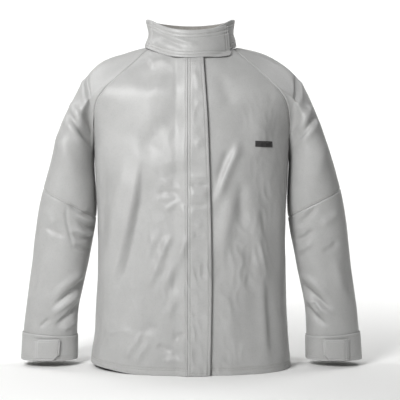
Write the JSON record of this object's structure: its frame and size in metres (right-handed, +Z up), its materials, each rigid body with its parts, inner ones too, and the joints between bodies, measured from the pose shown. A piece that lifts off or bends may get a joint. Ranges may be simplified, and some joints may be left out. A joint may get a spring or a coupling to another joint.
{
  "type": "leather welding jacket",
  "caption": "Pale grey leather welding jacket with stand collar, raglan sleeves, a snapped storm flap, a collar tab and cuff tabs.",
  "frame": {"origin": "middle of the jacket's box on the plane that its hem stands on", "axes": "+Z up, the front faces -Y, the wearer's left is +X"},
  "size_m": [0.8148, 0.2992, 0.8304],
  "materials": {
    "pearl_leather": "pale grey split cowhide, smooth pigmented face",
    "lining_leather": "flesh side of the same split cowhide, matt and fibrous",
    "snap_metal": "nickel-plated steel snaps",
    "hook_and_loop": "grey hook-and-loop tape",
    "patch_leather": "plain dark leather patch, blank"
  },
  "bodies": {
    "jacket": {"right_front_panel": "pearl_leather", "left_front_panel": "pearl_leather", "back_panel": "pearl_leather", "right_front_facing": "lining_leather", "left_front_facing": "lining_leather", "left_snap_placket": "pearl_leather", "back_neck_facing": "lining_leather", "hanger_loop": "lining_leather", "collar_band": "pearl_leather", "collar_lining": "lining_leather", "collar_loop_tape": "hook_and_loop", "chest_patch": "patch_leather", "right_shoulder_panel": "pearl_leather", "left_shoulder_panel": "pearl_leather", "snap_stud_1": "snap_metal", "snap_stud_2": "snap_metal", "snap_stud_3": "snap_metal", "snap_stud_4": "snap_metal", "snap_stud_5": "snap_metal", "snap_stud_6": "snap_metal", "snap_stud_7": "snap_metal"},
    "storm_flap": {"storm_flap_outer": "pearl_leather", "storm_flap_lining": "lining_leather", "snap_socket_1": "snap_metal", "snap_socket_2": "snap_metal", "snap_socket_3": "snap_metal", "snap_socket_4": "snap_metal", "snap_socket_5": "snap_metal", "snap_socket_6": "snap_metal", "snap_socket_7": "snap_metal"},
    "collar_tab": {"collar_tab": "pearl_leather", "collar_tab_lining": "lining_leather", "collar_hook_tape": "hook_and_loop"},
    "right_arm": {"right_upper_sleeve": "pearl_leather", "right_elbow_panel": "pearl_leather"},
    "right_forearm": {"right_forearm_front_panel": "pearl_leather", "right_forearm_back_panel": "pearl_leather", "right_cuff_band": "pearl_leather", "right_cuff_stud": "snap_metal"},
    "right_cuff_tab": {"right_cuff_tab": "pearl_leather", "right_cuff_socket": "snap_metal"},
    "left_arm": {"left_upper_sleeve": "pearl_leather", "left_elbow_panel": "pearl_leather"},
    "left_forearm": {"left_forearm_front_panel": "pearl_leather", "left_forearm_back_panel": "pearl_leather", "left_cuff_band": "pearl_leather", "left_cuff_stud": "snap_metal"},
    "left_cuff_tab": {"left_cuff_tab": "pearl_leather", "left_cuff_socket": "snap_metal"}
  },
  "joints": [
    {"name": "storm_flap_hinge", "type": "hinge", "parent": "jacket", "child": "storm_flap", "pos_m": [-0.00702, -0.14946, 0.00843], "axis": [0, -0.0467, -0.9989], "range_deg": [0, 120]},
    {"name": "collar_tab_hinge", "type": "hinge", "parent": "jacket", "child": "collar_tab", "pos_m": [-0.0263, -0.08766, 0.75481], "axis": [-0.0266, -0.1042, -0.9942], "range_deg": [0, 100]},
    {"name": "right_shoulder", "type": "hinge", "parent": "jacket", "child": "right_arm", "pos_m": [-0.262, 0.0093, 0.54], "axis": [0, 1, 0], "range_deg": [0, 40], "deforming": ["right_shoulder_panel"]},
    {"name": "right_elbow", "type": "hinge", "parent": "right_arm", "child": "right_forearm", "pos_m": [-0.308, 0.0133, 0.291], "axis": [-1, 0, 0], "range_deg": [0, 75], "deforming": ["right_elbow_panel"]},
    {"name": "right_cuff_tab_hinge", "type": "hinge", "parent": "right_forearm", "child": "right_cuff_tab", "pos_m": [-0.35895, -0.0545, 0.04193], "axis": [-0.0042, 0.0087, -1], "range_deg": [0, 110]},
    {"name": "left_shoulder", "type": "hinge", "parent": "jacket", "child": "left_arm", "pos_m": [0.262, 0.0093, 0.54], "axis": [0, -1, 0], "range_deg": [0, 40], "deforming": ["left_shoulder_panel"]},
    {"name": "left_elbow", "type": "hinge", "parent": "left_arm", "child": "left_forearm", "pos_m": [0.308, 0.0133, 0.291], "axis": [-1, 0, 0], "range_deg": [0, 75], "deforming": ["left_elbow_panel"]},
    {"name": "left_cuff_tab_hinge", "type": "hinge", "parent": "left_forearm", "child": "left_cuff_tab", "pos_m": [0.35895, -0.0545, 0.04193], "axis": [-0.0042, -0.0087, 1], "range_deg": [0, 110]}
  ]
}
